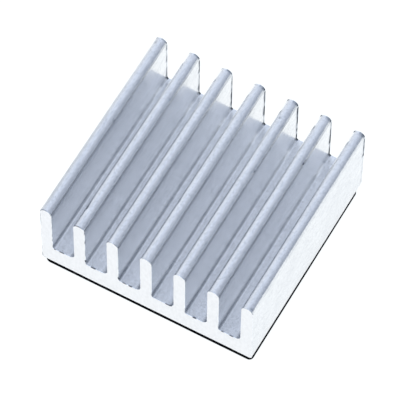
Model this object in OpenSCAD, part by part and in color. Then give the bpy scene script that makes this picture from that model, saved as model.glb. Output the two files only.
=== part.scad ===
// Small extruded aluminium heat sink for a circuit module: one extruded
// section of a base plate with upright fins, sawn to length, on a thin
// self-adhesive thermal pad that is a little smaller than the base.
//
// X runs across the fins, Y along the extrusion, +Z up. The origin is the
// centre of the footprint on the face that rests on the chip.

/* [Heat sink] */
// Width across the fins, set by the extrusion die
sink_w = 25; // [20:0.5:40]
// Sawn length along the fins
sink_l = 24.3; // [12:0.1:60]
// Height from the underside of the base to the top of the fins
sink_h = 9.85; // [7:0.05:16]
// Thickness of the base plate under the grooves
base_t = 2.7; // [2:0.05:4]
// Radius of the two long bottom corners
bottom_r = 0.3; // [0.1:0.05:0.6]

/* [Fins] */
// Number of fins
fin_count = 7; // [3:1:8]
// Thickness of one fin
fin_t = 1.38; // [1:0.02:1.8]
// Radius where a fin runs into the groove floor
root_r = 0.5; // [0.2:0.05:0.9]

/* [Thermal pad] */
// Thickness of the pad
pad_t = 0.55; // [0.2:0.05:1]
// How far the pad stops short of the left side of the base
pad_gap_left = 0.15; // [0:0.05:2]
// How far the pad stops short of the right side of the base
pad_gap_right = 0; // [0:0.05:2]
// How far the pad stops short of the front end of the base
pad_gap_front = 0; // [0:0.05:2]
// How far the pad stops short of the back end of the base
pad_gap_back = 0.85; // [0:0.05:3]
// Corner radius of the pad
pad_corner_r = 0.6; // [0.1:0.05:1]

/* [Hidden] */
$fn = 64;

// Distance between the middles of neighbouring fins; the two outer fins stand
// flush with the sides of the base
pitch = (sink_w - fin_t) / (fin_count - 1);
groove_w = pitch - fin_t;
// The root radius never takes up more than the groove's own floor
fillet_r = min(root_r, groove_w / 2 - 0.1);
// The fin tip is a full half round
tip_r = fin_t / 2;

pad_w = sink_w - pad_gap_left - pad_gap_right;
pad_l = sink_l - pad_gap_front - pad_gap_back;

function fin_x(i) = -sink_w / 2 + fin_t / 2 + i * pitch;

// Base plate in section: square top corners, small radii at the bottom
module base_section() {
    translate([-sink_w / 2, bottom_r]) square([sink_w, base_t - bottom_r]);
    translate([-sink_w / 2 + bottom_r, 0])
        square([sink_w - 2 * bottom_r, base_t]);
    for (s = [-1, 1])
        translate([s * (sink_w / 2 - bottom_r), bottom_r]) circle(r = bottom_r);
}

// One fin in section, from inside the base up to its half-round tip
module fin_section() {
    translate([-fin_t / 2, base_t / 2])
        square([fin_t, sink_h - tip_r - base_t / 2]);
    translate([0, sink_h - tip_r]) circle(r = tip_r);
}

// Concave radius in the corner between a fin and the groove floor; side is 1
// for a corner that opens to +X and -1 for one that opens to -X
module root_fillet(side) {
    mirror([side < 0 ? 1 : 0, 0]) translate([0, base_t]) difference() {
        translate([-fin_t / 4, -base_t / 4])
            square([fillet_r + fin_t / 4, fillet_r + base_t / 4]);
        translate([fillet_r, fillet_r]) circle(r = fillet_r);
    }
}

// The whole die section
module sink_section() {
    union() {
        base_section();
        for (i = [0 : fin_count - 1]) translate([fin_x(i), 0]) fin_section();
        for (i = [0 : fin_count - 2]) {
            translate([fin_x(i) + fin_t / 2, 0]) root_fillet(1);
            translate([fin_x(i + 1) - fin_t / 2, 0]) root_fillet(-1);
        }
    }
}

// The extrusion, sawn square at both ends
module heat_sink() {
    color([0.80, 0.82, 0.85])
        translate([0, 0, pad_t])
            rotate([90, 0, 0])
                linear_extrude(height = sink_l, center = true)
                    sink_section();
}

// The pad's outline: a rectangle with small corner radii
module pad_outline() {
    r = pad_corner_r;
    translate([r, 0]) square([pad_w - 2 * r, pad_l]);
    translate([0, r]) square([pad_w, pad_l - 2 * r]);
    for (x = [r, pad_w - r], y = [r, pad_l - r])
        translate([x, y]) circle(r = r);
}

// Thin black pad between the base and the chip
module thermal_pad() {
    color([0.05, 0.05, 0.06])
        translate([-sink_w / 2 + pad_gap_left, -sink_l / 2 + pad_gap_front, 0])
            linear_extrude(height = pad_t) pad_outline();
}

heat_sink();
thermal_pad();
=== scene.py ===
import math

import bmesh
import bpy
import numpy as np
from mathutils import Matrix, Vector
from mathutils.geometry import delaunay_2d_cdt


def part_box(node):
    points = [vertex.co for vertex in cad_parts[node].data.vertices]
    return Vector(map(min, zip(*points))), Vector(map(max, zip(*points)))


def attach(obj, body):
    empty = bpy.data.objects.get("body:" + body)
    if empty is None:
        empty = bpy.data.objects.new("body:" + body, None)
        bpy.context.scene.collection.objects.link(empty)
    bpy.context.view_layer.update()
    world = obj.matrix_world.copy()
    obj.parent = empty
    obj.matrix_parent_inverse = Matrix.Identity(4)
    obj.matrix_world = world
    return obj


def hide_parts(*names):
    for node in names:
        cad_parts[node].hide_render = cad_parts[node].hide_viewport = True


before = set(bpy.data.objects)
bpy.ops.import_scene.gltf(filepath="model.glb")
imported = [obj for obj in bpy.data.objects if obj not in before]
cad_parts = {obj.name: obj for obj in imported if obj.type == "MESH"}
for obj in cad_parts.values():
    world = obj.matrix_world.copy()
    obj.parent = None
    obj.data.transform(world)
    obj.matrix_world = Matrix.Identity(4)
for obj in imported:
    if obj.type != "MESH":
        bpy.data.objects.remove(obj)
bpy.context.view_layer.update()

MM = 0.001
scene = bpy.context.scene

# ---------------------------------------------------------------- dimensions
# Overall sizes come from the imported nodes, in millimetres.
s_lo, s_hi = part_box("heat_sink")
p_lo, p_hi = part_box("thermal_pad")
W = (s_hi.x - s_lo.x) / MM
L = (s_hi.y - s_lo.y) / MM
Z0 = s_lo.z / MM                      # underside of the metal, on top of the pad
H = (s_hi.z - s_lo.z) / MM
FINS = 7
FIN_T = 1.38
BASE_T = 2.7
BOTTOM_R = 0.3
ROOT_L = 0.25                          # root radius on the +X side of a fin
ROOT_R = 0.62                          # and on its -X side, where the die is more worn
PITCH = (W - FIN_T) / (FINS - 1)
TIP_R = FIN_T / 2
BREAK = 0.045                         # edge break where the saw left the metal


# ------------------------------------------------------------- small helpers
def smooth_noise(n, step, seed, closed=False):
    """n values of smooth noise in -1..1, with a new random level every step samples."""
    rng = np.random.RandomState(seed)
    k = max(2, int(math.ceil(n / step)))
    levels = rng.uniform(-1, 1, k + 1)
    if closed:
        levels[-1] = levels[0]
    t = np.linspace(0, k, n, endpoint=not closed)
    i = np.minimum(t.astype(int), k - 1)
    f = t - i
    f = f * f * (3 - 2 * f)
    return levels[i] * (1 - f) + levels[i + 1] * f


def grid_noise(n, m, step_n, step_m, seed):
    """n by m smooth noise in -1..1."""
    rng = np.random.RandomState(seed)
    a, b = max(2, int(math.ceil(n / step_n))), max(2, int(math.ceil(m / step_m)))
    g = rng.uniform(-1, 1, (a + 1, b + 1))
    u, v = np.linspace(0, a, n), np.linspace(0, b, m)
    i, j = np.minimum(u.astype(int), a - 1), np.minimum(v.astype(int), b - 1)
    fu, fv = u - i, v - j
    fu, fv = fu * fu * (3 - 2 * fu), fv * fv * (3 - 2 * fv)
    fu, fv = fu[:, None], fv[None, :]
    top = g[i][:, j] * (1 - fv) + g[i][:, j + 1] * fv
    low = g[i + 1][:, j] * (1 - fv) + g[i + 1][:, j + 1] * fv
    return top * (1 - fu) + low * fu


# --------------------------------------------------------- the die's section
def section():
    """The outline of the extrusion, going round once: lists of x, z, normal x, normal z and what each point is on."""
    pts = []

    def line(x0, z0, x1, z1, kind, step):
        n = max(1, int(round(math.hypot(x1 - x0, z1 - z0) / step)))
        dx, dz = x1 - x0, z1 - z0
        d = math.hypot(dx, dz)
        nx, nz = -dz / d, dx / d
        for k in range(n):
            t = k / n
            pts.append((x0 + dx * t, z0 + dz * t, nx, nz, kind))

    def arc(cx, cz, r, a0, a1, kind, n, sign):
        for k in range(n):
            a = math.radians(a0 + (a1 - a0) * k / n)
            c, s = math.cos(a), math.sin(a)
            pts.append((cx + r * c, cz + r * s, sign * c, sign * s, kind))

    half = W / 2
    # bottom, right to left
    line(half - BOTTOM_R, 0, -half + BOTTOM_R, 0, "bottom", 0.5)
    arc(-half + BOTTOM_R, BOTTOM_R, BOTTOM_R, 270, 180, "bottom", 5, 1)
    for i in range(FINS):
        x = -half + FIN_T / 2 + i * PITCH
        left_from = BOTTOM_R if i == 0 else BASE_T + ROOT_R
        line(x - TIP_R, left_from, x - TIP_R, H - TIP_R, "outer" if i == 0 else "flank", 0.14)
        arc(x, H - TIP_R, TIP_R, 180, 0, "tip", 26, 1)
        right_to = BOTTOM_R if i == FINS - 1 else BASE_T + ROOT_L
        line(x + TIP_R, H - TIP_R, x + TIP_R, right_to, "outer" if i == FINS - 1 else "flank", 0.14)
        if i < FINS - 1:
            arc(x + TIP_R + ROOT_L, BASE_T + ROOT_L, ROOT_L, 180, 270, "root", 9, -1)
            line(x + TIP_R + ROOT_L, BASE_T, x + PITCH - TIP_R - ROOT_R, BASE_T, "floor", 0.14)
            arc(x + PITCH - TIP_R - ROOT_R, BASE_T + ROOT_R, ROOT_R, 270, 360, "root", 9, -1)
    arc(half - BOTTOM_R, BOTTOM_R, BOTTOM_R, 0, -90, "bottom", 5, 1)
    return pts


OUT = section()
N = len(OUT)
SX = np.array([p[0] for p in OUT])
SZ = np.array([p[1] for p in OUT])
NX = np.array([p[2] for p in OUT])
NZ = np.array([p[3] for p in OUT])
# arcs and lines meet smoothly, so the normals there are renewed from the neighbours
tx = np.roll(SX, -1) - np.roll(SX, 1)
tz = np.roll(SZ, -1) - np.roll(SZ, 1)
tl = np.hypot(tx, tz)
NX, NZ = -tz / tl, tx / tl
KIND = [p[4] for p in OUT]
seg = np.hypot(np.roll(SX, -1) - SX, np.roll(SZ, -1) - SZ)
ARC = np.concatenate([[0], np.cumsum(seg)[:-1]])

# die lines: fine ridges that run the whole length, a few microns high
die = 0.0022 * smooth_noise(N, 1.6, 11) + 0.0016 * smooth_noise(N, 4, 12)
rng = np.random.RandomState(5)
for k in rng.choice(N, 34, replace=False):          # a few deeper scores
    die[k] -= rng.uniform(0.003, 0.009)
for k, kind in enumerate(KIND):
    if kind == "bottom":
        die[k] *= 0.4

# Nicks and rubbed spots: fin, offset from its middle, y, depth, length along the
# fin, reach round it (mm) and how much darker the spot is.
NICKS = [
    (1, -0.55, -9.55, 0.09, 0.42, 0.20, 0.70),
    (1, -0.10, -9.80, 0.05, 0.30, 0.34, 0.00),
    (4, -0.20, 9.53, 0.06, 0.16, 0.22, 0.45),
    (5, 0.60, 5.98, 0.03, 0.20, 0.22, 0.60),
    (4, 0.58, 2.70, 0.04, 0.22, 0.20, 0.45),
    (0, 0.60, 0.92, 0.04, 0.22, 0.20, 0.32),
    (1, 0.45, 6.03, 0.06, 0.20, 0.24, 0.10),
    (0, -0.37, 11.36, 0.05, 0.18, 0.22, 0.30),
    (6, 0.40, -11.85, 0.05, 0.20, 0.30, 0.35),
    (3, -0.50, -4.30, 0.03, 0.30, 0.20, 0.12),
    (2, 0.30, 7.90, 0.03, 0.22, 0.25, 0.10),
]

# rows along the length, closer together near the sawn ends and the nicks
ends = np.array([0.0, 0.010, 0.028, 0.055, 0.09, 0.14, 0.21, 0.30])
inner = np.linspace(-L / 2 + 0.42, L / 2 - 0.42, 44)
near = [n_[2] + d for n_ in NICKS for d in (-0.3, -0.15, 0.0, 0.15, 0.3) if abs(n_[2] + d) < L / 2 - 0.3]
ROWS = np.unique(np.round(np.concatenate([-L / 2 + ends, inner, near, L / 2 - ends]), 3))
keep = [0]
for j in range(1, len(ROWS)):                        # no two rows closer than they need to be
    if ROWS[j] - ROWS[keep[-1]] > 0.07 or abs(ROWS[j]) > L / 2 - 0.3:
        keep.append(j)
ROWS = ROWS[keep]
M = len(ROWS)

wave = grid_noise(N, M, 40, 8, 31) * 0.004            # the metal isn't quite straight

# The saw leaves a small uneven break along each end's outline, wider in places.
kinds = np.array(KIND)
angle = np.arctan2(NX, NZ)                            # 0 up, +90 deg towards +X
FI = np.clip(np.round((SX + W / 2 - FIN_T / 2) / PITCH), 0, FINS - 1).astype(int)
break_f = BREAK * (1.0 + 0.40 * smooth_noise(N, 3, 21) + 0.35 * smooth_noise(N, 9, 23))
wall = (kinds == "flank") & (NX > 0.5)
break_f[wall] = BREAK * np.clip(1.25 + 1.1 * smooth_noise(N, 5, 36)[wall] + 0.3 * smooth_noise(N, 2, 37)[wall], 0.25, 2.4)
break_b = BREAK * (1.1 + 0.45 * smooth_noise(N, 3, 22) + 0.35 * smooth_noise(N, 9, 24))
# darkening near the sawn ends: real burrs and marks, and painted shade
front_wear_and_shade = np.zeros(N)
back_burr_and_shade = np.zeros(N)


def along_floor(groove, a, b):
    """Which outline points lie on a groove's floor between two fractions of its width."""
    x0 = -W / 2 + FIN_T + groove * PITCH
    w = PITCH - FIN_T
    low = (SZ < BASE_T + 0.5) & (SZ > BASE_T - 0.1) & ((kinds == "floor") | (kinds == "root"))
    t = (SX - x0) / w
    return low & (t > a) & (t < b)


for g, a, b in ((0, 0.06, 0.14), (0, 0.30, 0.50), (1, 0.24, 0.46), (2, 0.18, 0.34), (2, 0.46, 0.64), (3, 0.60, 0.92), (4, 0.34, 0.52), (5, 0.10, 0.26), (5, 0.5, 0.7)):
    m_ = along_floor(g, a, b)
    break_f[m_] *= 1.9
    front_wear_and_shade[m_] = 0.9
ragged = wall & (FI < 3)
front_wear_and_shade[ragged] = np.clip(0.25 + 1.0 * smooth_noise(N, 3, 38)[ragged], 0, 0.85) * np.where(FI[ragged] == 2, 0.6, 1.0)
# painted shade along the sawn front edge of each rounded top, uneven and darker on the first three fins
tip_line = (kinds == "tip") & (np.abs(angle) < math.radians(80))
front_wear_and_shade[tip_line] = np.clip(np.where(FI[tip_line] < 3, 0.40, 0.14) + np.where(FI[tip_line] < 3, 0.5, 0.25) * smooth_noise(N, 5, 26)[tip_line], 0, 1)
# a grey line down the outer left edge, and painted shadow round the bottom left corner where the gap under the metal
# lies in shade
left_edge = (kinds == "outer") & (NX < -0.9)
front_wear_and_shade[left_edge] = np.clip(0.25 + 0.75 * smooth_noise(N, 6, 29)[left_edge], 0, 0.9)
left_low = (SX < -W / 2 + 0.7) & (SZ < 1.0)
front_wear_and_shade[left_low] = 0.9
break_f[left_edge] *= 1.5
break_f[left_low] *= 1.8
# painted shade on the front of the last fin's right-hand shoulder
right_shoulder = (kinds == "tip") & (angle > math.radians(25)) & (FI == FINS - 1)
front_wear_and_shade[right_shoulder] = 0.42
# at the back the blade has raised a small burr on the right-hand edges, and painted shade darkens those edges
right_edge = ((kinds == "flank") | (kinds == "outer")) & (NX > 0.9)
back_burr_and_shade[right_edge] = np.clip(0.95 + 0.45 * smooth_noise(N, 4, 27)[right_edge], 0.35, 1)
back_burr_and_shade[right_edge] *= np.array([0.74, 0.92, 0.95, 0.95, 1.0, 1.0, 1.0])[FI[right_edge]]
low_side = right_edge & (kinds == "outer") & (SZ < H - 4.2)
back_burr_and_shade[low_side] *= 0.35
right_tip = (kinds == "tip") & (angle > math.radians(2)) & (angle < math.radians(75))
back_burr_and_shade[right_tip] = np.clip(0.9 + 0.4 * smooth_noise(N, 5, 28)[right_tip], 0.3, 1) * np.where(FI[right_tip] < 3, 0.72, 1.0)
early = right_tip & (FI >= 3) & (angle < math.radians(32))
back_burr_and_shade[early] *= 0.65
left_tip = (kinds == "tip") & (angle > math.radians(-75)) & (angle < math.radians(-38))
back_burr_and_shade[left_tip] = np.where(FI[left_tip] >= 4, 0.95, 0.55)
# painted shade in the back corner of each groove
corner = (kinds == "root") & (NX > 0.25)
back_burr_and_shade[corner] = 1.0
reach_b = np.where(FI >= 3, 0.34, 0.29) + 0.09 * smooth_noise(N, 4, 30)   # how far in from the sawn edge the dark burr and painted shade reach
reach_b[right_tip] = np.where(FI[right_tip] < 3, 0.17, 0.29) + 0.05 * smooth_noise(N, 4, 33)[right_tip]
reach_b[left_tip] = np.where(FI[left_tip] >= 4, 0.22, 0.15)
reach_b[corner] = 0.26
reach_f = 0.06 + 0.9 * (break_f - BREAK)
reach_f[left_low | left_edge] = 0.12
reach_f[ragged] = 0.10

P = np.zeros((M, N, 3))
# WEAR_AND_SHADE darkens the colour: real burrs, nicks and dirt, and also painted shade
WEAR_AND_SHADE = np.zeros((M, N))
for j, y in enumerate(ROWS):
    off = die * (1.0 + 0.25 * math.sin(y * 0.9)) + wave[:, j]
    for d, wide, mk, reach, burr in ((y + L / 2, break_f, front_wear_and_shade, reach_f, 0.0), (L / 2 - y, break_b, back_burr_and_shade, reach_b, 1.0)):
        t = np.clip(1 - d / wide, 0, 1)
        off = off - wide * (1 - np.sqrt(np.clip(1 - t * t, 0, 1)))
        WEAR_AND_SHADE[j] = np.maximum(WEAR_AND_SHADE[j], mk * np.clip(1.5 - d / np.maximum(reach, 0.03), 0, 1))
        if burr:
            off = off + 0.018 * right_edge * mk * math.exp(-((d - 0.06) / 0.03) ** 2)
    P[j, :, 0] = SX + NX * off
    P[j, :, 1] = y
    P[j, :, 2] = SZ + NZ * off + Z0


# ------------------------------------------------------------ nicks and dents
for fin, dx_, y_, depth, length, reach, dark in NICKS:
    cx = -W / 2 + FIN_T / 2 + fin * PITCH + dx_
    cz = Z0 + H - TIP_R + math.sqrt(max(0.0, TIP_R ** 2 - dx_ ** 2))
    f = np.exp(-((P[:, :, 0] - cx) ** 2 + (P[:, :, 2] - cz) ** 2) / reach ** 2 - ((P[:, :, 1] - y_) / length) ** 2)
    P[:, :, 0] -= f * depth * NX[None, :]
    P[:, :, 2] -= f * depth * NZ[None, :]
    WEAR_AND_SHADE = np.maximum(WEAR_AND_SHADE, dark * f ** 1.5)
for g in range(FINS - 1):                            # a soft patch of painted shade low on each fin, near the back corner
    x0 = -W / 2 + FIN_T + g * PITCH
    f = np.exp(-((P[:, :, 0] - x0) / 0.5) ** 2 - ((P[:, :, 2] - Z0 - BASE_T - 0.8) / 0.55) ** 2 - ((P[:, :, 1] - L / 2 + 1.35) / 0.6) ** 2)
    WEAR_AND_SHADE = WEAR_AND_SHADE + (0.16 - 0.03 * (g % 3)) * f
    # painted shade in each groove's corner, wider and darker at the front
    late = np.clip((P[:, :, 1] + L / 2) / L, 0, 1)   # 0 at the front, 1 at the back
    near_ = np.exp(-(late / 0.16) ** 2) * (0.3 if g < 2 else 1.0)
    d = np.hypot((P[:, :, 0] - x0) / (0.10 + 0.08 * near_), (P[:, :, 2] - Z0 - BASE_T - 0.34) / (0.42 + 0.18 * near_))
    crease_shade = 0.25 * (1 - late) ** 1.1 + (0.10 if g < 2 else 0.24) * np.exp(-late / 0.12)
    WEAR_AND_SHADE = WEAR_AND_SHADE + crease_shade * np.exp(-d ** 2) * (SX > x0 - 0.1) * (SX < x0 + PITCH / 2)
# per fin: how dark the band of painted shade under each rounded top is, its height over the end of the rounding, its
# width
UNDER_SHADE = [(0.23, -0.10, 0.38), (0.19, -0.04, 0.33), (0.18, 0.05, 0.27), (0.18, 0.03, 0.29),
         (0.18, 0.05, 0.27), (0.17, -0.02, 0.36), (0.17, 0.22, 0.34)]
for g in range(FINS):
    x0 = -W / 2 + FIN_T + g * PITCH
    side = (SX > x0 - 0.6) & (SX < x0 + 0.1) & (NX > 0.2)
    amount, centre, wide_ = UNDER_SHADE[g]
    over = P[:, :, 2] - Z0 - H + TIP_R
    back_shade_ramp = np.clip((P[:, :, 1] - 2.0) / 4.0, 0, 1)    # towards the back the painted shade band moves up on to the rounding
    # the band of painted shade under the rounded top, a little uneven
    soft = amount + 0.06 * grid_noise(M, N, 5, 400, 50 + g)
    if g < FINS - 1:
        soft = soft * (1 - back_shade_ramp)
        # towards the back, painted shade on the rounding dims the reflection of the bright rear there
        WEAR_AND_SHADE = WEAR_AND_SHADE + side * 0.34 * back_shade_ramp * np.exp(-((over - 0.27) / 0.15) ** 2)
    WEAR_AND_SHADE = WEAR_AND_SHADE + side * soft * np.exp(-((over - centre) / wide_) ** 2)
# the right-hand outer side is made a little darker, unevenly
right_side_darkening = ((kinds == "outer") & (NX > 0.9))[None, :] * (0.05 + 0.03 * grid_noise(M, N, 3, 12, 35))
WEAR_AND_SHADE = np.clip(np.maximum(WEAR_AND_SHADE, right_side_darkening), 0, 1)
# painted shade on the first fin's outer shoulder, darkest at the front
shoulder_shade = ((kinds == "tip") & (FI == 0))[None, :] * np.exp(-((np.degrees(angle)[None, :] + 52) / 26) ** 2)
WEAR_AND_SHADE = WEAR_AND_SHADE + shoulder_shade * (0.15 + 0.17 * np.clip((6 - P[:, :, 1]) / 12, 0, 1)) * (1 + 0.3 * grid_noise(M, N, 4, 300, 63))
# the die's own fine lines hold a little dirt on the flats
fine = 0.5 + 0.5 * smooth_noise(N, 1.5, 61)
WEAR_AND_SHADE = WEAR_AND_SHADE + (kinds == "flank")[None, :] * 0.045 * fine[None, :] * (0.65 + 0.35 * grid_noise(M, N, 7, 30, 62))
# a painted shadow line along the bottom edge, low down at the back of the right-hand side
f = np.exp(-((P[:, :, 1] - 11.65) / 0.55) ** 2 - ((P[:, :, 2] - Z0) / 0.12) ** 2)
WEAR_AND_SHADE = np.clip(WEAR_AND_SHADE + 0.75 * f * (SX > W / 2 - 0.25), 0, 1)
# a small speck on the right-hand side
f = np.exp(-((P[:, :, 0] - W / 2) ** 2 + (P[:, :, 2] - (Z0 + 9.4)) ** 2 + (P[:, :, 1] - 4.3) ** 2) / 0.13 ** 2)
WEAR_AND_SHADE = np.maximum(WEAR_AND_SHADE, 0.55 * f)
# the right-hand bottom edge is rounded at the front and nearly sharp at the back
low_right = (SX > W / 2 - BOTTOM_R - 0.01) & (SZ < BOTTOM_R + 0.01)
share = np.clip((ROWS + 14.0) / 22.0, 0.1, 0.9)[:, None]
ax_ = (SX - (W / 2 - BOTTOM_R)) / BOTTOM_R            # 0..1 across the rounding
az_ = (BOTTOM_R - SZ) / BOTTOM_R
grow = np.where(low_right, 1 / np.maximum(np.maximum(ax_, az_), 0.5), 1.0)
P[:, :, 0] += np.where(low_right, (SX - (W / 2 - BOTTOM_R)) * (grow - 1), 0)[None, :] * share
P[:, :, 2] -= np.where(low_right, (BOTTOM_R - SZ) * (grow - 1), 0)[None, :] * share
# nothing stands outside the sawn block
P[:, :, 0] = np.clip(P[:, :, 0], -W / 2, W / 2)
P[:, :, 2] = np.clip(P[:, :, 2], Z0, Z0 + H)


def build_sink():
    bm = bmesh.new()
    layer = bm.verts.layers.float.new("mark")
    verts = [[bm.verts.new(P[j, k] * MM) for k in range(N)] for j in range(M)]
    for j in range(M):
        for k in range(N):
            verts[j][k][layer] = WEAR_AND_SHADE[j, k]
    for j in range(M - 1):
        a, b = verts[j], verts[j + 1]
        for k in range(N):
            q = (k + 1) % N
            f = bm.faces.new((a[k], b[k], b[q], a[q]))
            f.smooth = True
            f.material_index = 0
    # sawn ends: a fine triangulation with the saw's marks in the metal itself
    for j, out in ((0, -1), (M - 1, 1)):
        ring = verts[j]
        base = [Vector((P[j, k, 0], P[j, k, 2])) for k in range(N)]
        extra = []
        step = 0.34
        r = np.random.RandomState(77 + j)
        zs = np.arange(Z0 + 0.2, Z0 + H, step)
        xs = np.arange(-W / 2 + 0.2, W / 2, step)
        for z in zs:
            for x in xs:
                px = x + r.uniform(-0.06, 0.06)
                pz = z + r.uniform(-0.06, 0.06)
                if inside(px, pz - Z0, 0.16):
                    extra.append(Vector((px, pz)))
        allp = base + extra
        edges = [(k, (k + 1) % N) for k in range(N)]
        vs, es, fs, ov, oe, of_ = delaunay_2d_cdt(allp, edges, [list(range(N))], 1, 1e-7)
        made = {}
        y = P[j, 0, 1]
        for i, v in enumerate(vs):
            src = [o for o in ov[i] if o < N]
            if src:
                made[i] = ring[src[0]]
            else:
                mark = 0.0045 * math.sin(v.x * 5.3 + 0.5 * math.sin(v.y * 1.1)) + 0.003 * math.sin(v.x * 11.7 + v.y * 0.6)
                made[i] = bm.verts.new((v.x * MM, (y + out * (mark - 0.0076)) * MM, v.y * MM))
        for tri in fs:
            vv = [made[i] for i in tri]
            if len(set(vv)) < 3:
                continue
            try:
                f = bm.faces.new(vv)
            except ValueError:
                continue
            f.material_index = 1
            f.smooth = True
    bm.normal_update()
    bmesh.ops.recalc_face_normals(bm, faces=bm.faces[:])
    # a crisp edge where the sawn face meets the edge break
    for e in bm.edges:
        if len(e.link_faces) == 2 and e.link_faces[0].material_index != e.link_faces[1].material_index:
            e.smooth = False
    me = bpy.data.meshes.new("heat_sink_metal")
    bm.to_mesh(me)
    bm.free()
    ob = bpy.data.objects.new("heat_sink_metal", me)
    scene.collection.objects.link(ob)
    return ob


def fin_index(x):
    return min(FINS - 1, max(0, int(round((x + W / 2 - FIN_T / 2) / PITCH))))


def inside(x, z, margin):
    """True if a point of the section is at least margin inside the metal."""
    if abs(x) > W / 2 - margin or z < margin or z > H - margin:
        return False
    if z < BASE_T - margin:
        return True
    i = fin_index(x)
    cx = -W / 2 + FIN_T / 2 + i * PITCH
    if z > H - TIP_R:
        return math.hypot(x - cx, z - (H - TIP_R)) < TIP_R - margin
    return abs(x - cx) < FIN_T / 2 - margin


# ------------------------------------------------------------------ materials
def new_mat(name):
    m = bpy.data.materials.new(name)
    m.use_nodes = True
    nt = m.node_tree
    nt.nodes.clear()
    out = nt.nodes.new("ShaderNodeOutputMaterial")
    bs = nt.nodes.new("ShaderNodeBsdfPrincipled")
    nt.links.new(bs.outputs[0], out.inputs[0])
    return m, nt, bs


def node(nt, kind, **kw):
    n = nt.nodes.new(kind)
    for k, v in kw.items():
        setattr(n, k, v)
    return n


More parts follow.
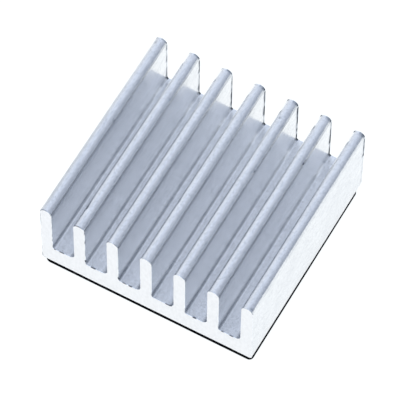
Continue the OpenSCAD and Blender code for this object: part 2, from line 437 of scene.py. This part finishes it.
def extruded_metal():
    """Mill-finish aluminium: satin, with die lines along Y in its colour, gloss and relief."""
    m, nt, bs = new_mat("extruded_aluminium")
    L_ = nt.links
    bs.inputs["Metallic"].default_value = 1.0
    # the die lines scatter light far more across the extrusion than along it
    bs.inputs["Anisotropic"].default_value = 0.8
    tang = node(nt, "ShaderNodeTangent", direction_type="RADIAL", axis="Y")
    L_.new(tang.outputs[0], bs.inputs["Tangent"])
    tc = node(nt, "ShaderNodeTexCoord")
    # streaks: noise squeezed along Y, so that each line runs nearly the whole length
    mp = node(nt, "ShaderNodeMapping")
    mp.inputs["Scale"].default_value = (1.0, 0.02, 1.0)
    L_.new(tc.outputs["Object"], mp.inputs["Vector"])
    streak = node(nt, "ShaderNodeTexNoise")
    streak.inputs["Scale"].default_value = 5200.0
    streak.inputs["Detail"].default_value = 3.0
    streak.inputs["Roughness"].default_value = 0.6
    L_.new(mp.outputs[0], streak.inputs["Vector"])
    broad = node(nt, "ShaderNodeTexNoise")
    broad.inputs["Scale"].default_value = 900.0
    broad.inputs["Detail"].default_value = 2.0
    L_.new(mp.outputs[0], broad.inputs["Vector"])
    cloud = node(nt, "ShaderNodeTexNoise")
    cloud.inputs["Scale"].default_value = 2300.0
    cloud.inputs["Detail"].default_value = 4.0
    cloud.inputs["Roughness"].default_value = 0.75
    drawn = node(nt, "ShaderNodeMapping")               # drawn out along the extrusion
    drawn.inputs["Scale"].default_value = (1.15, 0.36, 1.15)
    L_.new(tc.outputs["Object"], drawn.inputs["Vector"])
    L_.new(drawn.outputs[0], cloud.inputs["Vector"])
    # colour
    ramp = node(nt, "ShaderNodeValToRGB")
    ramp.color_ramp.elements[0].position = 0.3
    ramp.color_ramp.elements[0].color = (0.955, 0.959, 0.966, 1)
    ramp.color_ramp.elements[1].position = 0.7
    ramp.color_ramp.elements[1].color = (1.0, 1.0, 1.0, 1)
    L_.new(streak.outputs["Fac"], ramp.inputs["Fac"])
    ramp2 = node(nt, "ShaderNodeValToRGB")
    ramp2.color_ramp.elements[0].position = 0.36
    ramp2.color_ramp.elements[0].color = (0.905, 0.911, 0.920, 1)
    ramp2.color_ramp.elements[1].position = 0.57
    ramp2.color_ramp.elements[1].color = (1, 1, 1, 1)
    L_.new(cloud.outputs["Fac"], ramp2.inputs["Fac"])
    mul = node(nt, "ShaderNodeMix", data_type="RGBA", blend_type="MULTIPLY")
    mul.inputs[0].default_value = 1.0
    L_.new(ramp.outputs[0], mul.inputs[6])
    L_.new(ramp2.outputs[0], mul.inputs[7])
    # a fine grain over it all
    grain = node(nt, "ShaderNodeTexNoise")
    grain.inputs["Scale"].default_value = 3300.0
    grain.inputs["Detail"].default_value = 2.0
    grain.inputs["Roughness"].default_value = 0.7
    L_.new(tc.outputs["Object"], grain.inputs["Vector"])
    ramp3 = node(nt, "ShaderNodeValToRGB")
    ramp3.color_ramp.elements[0].position = 0.38
    ramp3.color_ramp.elements[0].color = (0.915, 0.918, 0.922, 1)
    ramp3.color_ramp.elements[1].position = 0.53
    ramp3.color_ramp.elements[1].color = (1, 1, 1, 1)
    L_.new(grain.outputs["Fac"], ramp3.inputs["Fac"])
    mul2 = node(nt, "ShaderNodeMix", data_type="RGBA", blend_type="MULTIPLY")
    mul2.inputs[0].default_value = 1.0
    L_.new(mul.outputs[2], mul2.inputs[6])
    L_.new(ramp3.outputs[0], mul2.inputs[7])
    # the mark attribute carries real burrs, nicks and dirt, and also painted shade
    mark = node(nt, "ShaderNodeAttribute", attribute_name="mark")
    wear_and_shade_mix = node(nt, "ShaderNodeMix", data_type="RGBA", blend_type="MIX")
    L_.new(mark.outputs["Fac"], wear_and_shade_mix.inputs[0])
    L_.new(mul2.outputs[2], wear_and_shade_mix.inputs[6])
    # thin dirt and light painted shade look bluish against the metal; a thick burr and deep painted shade are nearly
    # black
    dirt_and_shade_colour = node(nt, "ShaderNodeValToRGB")
    dirt_and_shade_colour.color_ramp.elements[0].position = 0.5
    dirt_and_shade_colour.color_ramp.elements[0].color = (0.035, 0.075, 0.14, 1)
    dirt_and_shade_colour.color_ramp.elements[1].position = 0.85
    dirt_and_shade_colour.color_ramp.elements[1].color = (0.012, 0.021, 0.035, 1)
    L_.new(mark.outputs["Fac"], dirt_and_shade_colour.inputs["Fac"])
    L_.new(dirt_and_shade_colour.outputs[0], wear_and_shade_mix.inputs[7])
    L_.new(wear_and_shade_mix.outputs[2], bs.inputs["Base Color"])
    # where the marks and painted shade are dark the surface turns from metal to a dark non-metal
    bare = node(nt, "ShaderNodeMapRange")
    bare.inputs["From Min"].default_value = 0.45
    bare.inputs["From Max"].default_value = 0.9
    bare.inputs["To Min"].default_value = 1.0
    bare.inputs["To Max"].default_value = 0.0
    L_.new(mark.outputs["Fac"], bare.inputs["Value"])
    L_.new(bare.outputs[0], bs.inputs["Metallic"])
    bs.inputs["Specular IOR Level"].default_value = 0.0
    # gloss
    rr = node(nt, "ShaderNodeMapRange")
    rr.inputs["From Min"].default_value = 0.3
    rr.inputs["From Max"].default_value = 0.7
    rr.inputs["To Min"].default_value = 0.21
    rr.inputs["To Max"].default_value = 0.255
    L_.new(broad.outputs["Fac"], rr.inputs["Value"])
    L_.new(rr.outputs[0], bs.inputs["Roughness"])
    # relief
    bump = node(nt, "ShaderNodeBump")
    bump.inputs["Strength"].default_value = 0.16
    bump.inputs["Distance"].default_value = 0.000006
    L_.new(streak.outputs["Fac"], bump.inputs["Height"])
    L_.new(bump.outputs[0], bs.inputs["Normal"])
    return m


def sawn_metal():
    """Sawn aluminium: bright and rough, with fine marks from the blade."""
    m, nt, bs = new_mat("sawn_aluminium")
    L_ = nt.links
    bs.inputs["Metallic"].default_value = 1.0
    tc = node(nt, "ShaderNodeTexCoord")
    mp = node(nt, "ShaderNodeMapping")
    mp.inputs["Scale"].default_value = (1.0, 1.0, 0.45)
    mp.inputs["Rotation"].default_value = (0.0, math.radians(4), 0.0)
    L_.new(tc.outputs["Object"], mp.inputs["Vector"])
    marks = node(nt, "ShaderNodeTexNoise")
    marks.inputs["Scale"].default_value = 3600.0
    marks.inputs["Detail"].default_value = 3.0
    L_.new(mp.outputs[0], marks.inputs["Vector"])
    grain = node(nt, "ShaderNodeTexNoise")
    grain.inputs["Scale"].default_value = 2600.0
    grain.inputs["Detail"].default_value = 3.0
    L_.new(tc.outputs["Object"], grain.inputs["Vector"])
    ramp = node(nt, "ShaderNodeValToRGB")
    ramp.color_ramp.elements[0].position = 0.3
    ramp.color_ramp.elements[0].color = (0.868, 0.858, 0.853, 1)
    ramp.color_ramp.elements[1].position = 0.62
    ramp.color_ramp.elements[1].color = (0.918, 0.908, 0.903, 1)
    L_.new(marks.outputs["Fac"], ramp.inputs["Fac"])
    L_.new(ramp.outputs[0], bs.inputs["Base Color"])
    rr = node(nt, "ShaderNodeMapRange")
    rr.inputs["From Min"].default_value = 0.3
    rr.inputs["From Max"].default_value = 0.7
    rr.inputs["To Min"].default_value = 0.48
    rr.inputs["To Max"].default_value = 0.62
    L_.new(grain.outputs["Fac"], rr.inputs["Value"])
    L_.new(rr.outputs[0], bs.inputs["Roughness"])
    bump = node(nt, "ShaderNodeBump")
    bump.inputs["Strength"].default_value = 0.3
    bump.inputs["Distance"].default_value = 0.00001
    L_.new(marks.outputs["Fac"], bump.inputs["Height"])
    L_.new(bump.outputs[0], bs.inputs["Normal"])
    return m


def pad_black():
    """Matt black pad with a faint grain."""
    m, nt, bs = new_mat("pad_black")
    L_ = nt.links
    tc = node(nt, "ShaderNodeTexCoord")
    grain = node(nt, "ShaderNodeTexNoise")
    grain.inputs["Scale"].default_value = 2500.0
    grain.inputs["Detail"].default_value = 3.0
    L_.new(tc.outputs["Object"], grain.inputs["Vector"])
    ramp = node(nt, "ShaderNodeValToRGB")
    ramp.color_ramp.elements[0].position = 0.3
    ramp.color_ramp.elements[0].color = (0.0015, 0.0015, 0.002, 1)
    ramp.color_ramp.elements[1].position = 0.75
    ramp.color_ramp.elements[1].color = (0.005, 0.0055, 0.007, 1)
    L_.new(grain.outputs["Fac"], ramp.inputs["Fac"])
    L_.new(ramp.outputs[0], bs.inputs["Base Color"])
    rr = node(nt, "ShaderNodeMapRange")
    rr.inputs["To Min"].default_value = 0.7
    rr.inputs["To Max"].default_value = 0.95
    L_.new(grain.outputs["Fac"], rr.inputs["Value"])
    L_.new(rr.outputs[0], bs.inputs["Roughness"])
    bs.inputs["Specular IOR Level"].default_value = 0.0
    bump = node(nt, "ShaderNodeBump")
    bump.inputs["Strength"].default_value = 0.4
    bump.inputs["Distance"].default_value = 0.00001
    L_.new(grain.outputs["Fac"], bump.inputs["Height"])
    L_.new(bump.outputs[0], bs.inputs["Normal"])
    return m


def floor_white():
    m, nt, bs = new_mat("floor_white")
    bs.inputs["Base Color"].default_value = (0.2, 0.2, 0.2, 1)
    bs.inputs["Roughness"].default_value = 0.9
    bs.inputs["Specular IOR Level"].default_value = 0.0
    bs.inputs["Emission Color"].default_value = (0.975, 1, 1, 1)
    bs.inputs["Emission Strength"].default_value = 0.93
    return m


# ---------------------------------------------------------------------- build
sink = build_sink()
sink.data.materials.append(extruded_metal())
sink.data.materials.append(sawn_metal())
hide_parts("heat_sink")
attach(sink, "root")


def build_pad():
    """The pad as a cut sheet: a slightly wandering outline with soft edges."""
    x0, x1 = p_lo.x / MM, p_hi.x / MM
    y0, y1 = p_lo.y / MM, p_hi.y / MM
    t = (p_hi.z - p_lo.z) / MM
    pts = []
    fl, fr, br, bl = 0.8, 0.5, 0.45, 0.7             # corner radii: front left and right, back right and left

    def run(ax, ay, bx, by, step=0.5):
        n = max(1, int(round(math.hypot(bx - ax, by - ay) / step)))
        for k in range(n):
            pts.append((ax + (bx - ax) * k / n, ay + (by - ay) * k / n))

    def turn(cx, cy, a0, r):
        for k in range(7):
            a = math.radians(a0 + 90 * k / 7)
            pts.append((cx + r * math.cos(a), cy + r * math.sin(a)))

    run(x0 + fl, y0, x1 - fr, y0)
    turn(x1 - fr, y0 + fr, 270, fr)
    run(x1, y0 + fr, x1, y1 - br)
    turn(x1 - br, y1 - br, 0, br)
    run(x1 - br, y1, x0 + bl, y1)
    turn(x0 + bl, y1 - bl, 90, bl)
    run(x0, y1 - bl, x0, y0 + fl)
    turn(x0 + fl, y0 + fl, 180, fl)
    n = len(pts)
    a = np.array(pts)
    tan = np.roll(a, -1, 0) - np.roll(a, 1, 0)
    tan /= np.hypot(tan[:, 0], tan[:, 1])[:, None]
    nrm = np.stack([tan[:, 1], -tan[:, 0]], 1)
    # the knife's edge wanders a little
    wander = 0.005 * smooth_noise(n, 5, 41) - 0.005
    bm = bmesh.new()
    rings = []
    # section through the cut edge: soft at both faces, a little hollow between
    for z, inset in ((0.0, 0.006), (0.006, 0.0), (0.03, 0.0), (t * 0.5, 0.004), (t - 0.03, 0.0), (t - 0.01, 0.006), (t, 0.02)):
        q = a + nrm * (wander - inset)[:, None]
        rings.append([bm.verts.new((x * MM, y * MM, z * MM)) for x, y in q])
    for lo, hi in zip(rings[:-1], rings[1:]):
        for k in range(n):
            f = bm.faces.new((lo[k], lo[(k + 1) % n], hi[(k + 1) % n], hi[k]))
            f.smooth = True
    bm.faces.new(rings[-1])
    bm.faces.new(rings[0][::-1])
    bmesh.ops.recalc_face_normals(bm, faces=bm.faces[:])
    me = bpy.data.meshes.new("pad_sheet")
    bm.to_mesh(me)
    bm.free()
    ob = bpy.data.objects.new("pad_sheet", me)
    scene.collection.objects.link(ob)
    return ob


pad = build_pad()
pad.data.materials.append(pad_black())
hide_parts("thermal_pad")
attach(pad, "root")

# ---------------------------------------------------------------------- stage
bm = bmesh.new()
bmesh.ops.create_grid(bm, x_segments=1, y_segments=1, size=3.0)
me = bpy.data.meshes.new("floor")
bm.to_mesh(me)
bm.free()
floor = bpy.data.objects.new("floor", me)
scene.collection.objects.link(floor)
floor.data.materials.append(floor_white())

# --------------------------------------------------------------------- camera
K = W / 22.0
az, el, roll = math.radians(28.488), math.radians(59.207), math.radians(0.751)
back = Vector((math.sin(az) * math.cos(el), -math.cos(az) * math.cos(el), math.sin(el)))
fwd = -back
right = fwd.cross(Vector((0, 0, 1))).normalized()
up = right.cross(fwd)
r2 = right * math.cos(roll) + up * math.sin(roll)
u2 = up * math.cos(roll) - right * math.sin(roll)
pos = (Vector((0, 0, 2.588)) + back * 354.72 - r2 * 0.232 + u2 * 0.662) * K * MM
cam_data = bpy.data.cameras.new("camera")
cam = bpy.data.objects.new("camera", cam_data)
scene.collection.objects.link(cam)
rot = Matrix((r2, u2, back)).transposed()
cam.matrix_world = Matrix.Translation(pos) @ rot.to_4x4()
cam_data.sensor_width = 36.0
cam_data.lens = 3842.0 / 401.0 * 36.0
cam_data.clip_start = 0.02
cam_data.clip_end = 20.0
scene.camera = cam

# --------------------------------------------------------------------- lights
# A soft studio tent: broad overlapping patches of light, each given by the
# direction it comes from (degrees round from the front, degrees up) and its
# colour. It is cooler overhead and at the back, and dimmer at the sides.
SKY = [
    (0, 14, (0.48, 0.55, 0.60)),
    (45, 14, (0.37, 0.45, 0.56)),
    (90, 14, (0.17, 0.19, 0.24)),
    (135, 14, (0.15, 0.18, 0.23)),
    (180, 14, (0.60, 0.72, 0.93)),
    (-135, 14, (0.53, 0.56, 0.60)),
    (-90, 14, (0.23, 0.25, 0.30)),
    (-45, 14, (0.39, 0.42, 0.43)),
    (0, 50, (0.47, 0.53, 0.67)),
    (60, 50, (0.35, 0.41, 0.54)),
    (120, 50, (0.11, 0.10, 0.09)),
    (180, 50, (0.23, 0.25, 0.29)),
    (-120, 50, (0.17, 0.18, 0.20)),
    (-60, 50, (0.28, 0.32, 0.41)),
    (0, 89, (0.23, 0.27, 0.35)),
]
SPREAD = 5.5

world = bpy.data.worlds.new("studio")
scene.world = world
world.use_nodes = True
wn = world.node_tree
wn.nodes.clear()
w_out = wn.nodes.new("ShaderNodeOutputWorld")
w_tc = wn.nodes.new("ShaderNodeTexCoord")
total = None
for az_, el_, colour in SKY:
    a_, e_ = math.radians(az_), math.radians(el_)
    dot = wn.nodes.new("ShaderNodeVectorMath")
    dot.operation = "DOT_PRODUCT"
    dot.inputs[1].default_value = (math.sin(a_) * math.cos(e_), -math.cos(a_) * math.cos(e_), math.sin(e_))
    wn.links.new(w_tc.outputs["Generated"], dot.inputs[0])
    fall = wn.nodes.new("ShaderNodeMath")
    fall.operation = "MULTIPLY_ADD"
    fall.inputs[1].default_value = SPREAD
    fall.inputs[2].default_value = -SPREAD
    wn.links.new(dot.outputs["Value"], fall.inputs[0])
    lobe = wn.nodes.new("ShaderNodeMath")
    lobe.operation = "EXPONENT"
    wn.links.new(fall.outputs[0], lobe.inputs[0])
    patch = wn.nodes.new("ShaderNodeBackground")
    patch.inputs[0].default_value = (*colour, 1)
    wn.links.new(lobe.outputs[0], patch.inputs[1])
    if total is None:
        total = patch
    else:
        add = wn.nodes.new("ShaderNodeAddShader")
        wn.links.new(total.outputs[0], add.inputs[0])
        wn.links.new(patch.outputs[0], add.inputs[1])
        total = add
wn.links.new(total.outputs[0], w_out.inputs[0])

# the grooves pass light on many times before it gets out
scene.cycles.glossy_bounces = 16
scene.cycles.max_bounces = 24

scene.view_settings.view_transform = "Standard"
scene.view_settings.look = "None"
scene.view_settings.exposure = 0.0
scene.view_settings.gamma = 1.0

bpy.context.view_layer.update()
